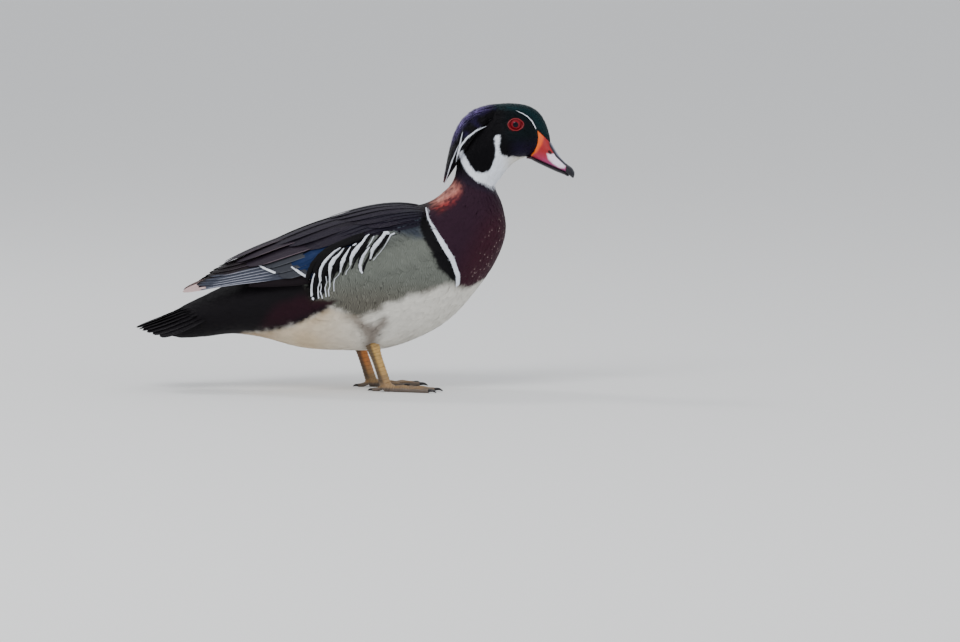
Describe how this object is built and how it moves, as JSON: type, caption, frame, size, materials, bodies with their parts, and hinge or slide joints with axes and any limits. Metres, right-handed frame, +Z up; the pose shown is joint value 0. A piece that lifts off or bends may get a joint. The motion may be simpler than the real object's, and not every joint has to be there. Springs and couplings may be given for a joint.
{
  "type": "wood duck",
  "caption": "Life-size still model of a male wood duck standing with its head up, wings folded and feet flat on the floor.",
  "frame": {"origin": "on the floor, under the middle of the bird's length and width", "axes": "+X towards the bill, +Y towards the bird's left side, +Z up"},
  "size_m": [0.3858, 0.124, 0.252],
  "materials": {
    "head_plumage": "glossy black feathers with a green to purple sheen",
    "crest_plumage": "glossy purple black feathers with white lines",
    "breast_plumage": "dark chestnut feathers",
    "body_plumage": "buff flank, finely lined, and white belly feathers",
    "tail_plumage": "black and dark brown feathers",
    "wing_plumage": "dark glossy flight feathers with a blue patch",
    "bill": "smooth red, orange, white and black horn",
    "lower_bill": "smooth black horn",
    "eye": "wet gloss red iris and black pupil",
    "leg_skin": "scaled tan skin with dark webs and claws"
  },
  "bodies": {
    "root": {"tail": "tail_plumage", "torso": "body_plumage", "neck": "breast_plumage", "head": "head_plumage", "crest": "crest_plumage", "bill_upper": "bill", "bill_lower": "lower_bill", "eye_right": "eye", "eye_left": "eye", "wing_right": "wing_plumage", "wing_left": "wing_plumage", "leg_right": "leg_skin", "leg_left": "leg_skin", "foot_right": "leg_skin", "foot_left": "leg_skin"}
  },
  "joints": []
}
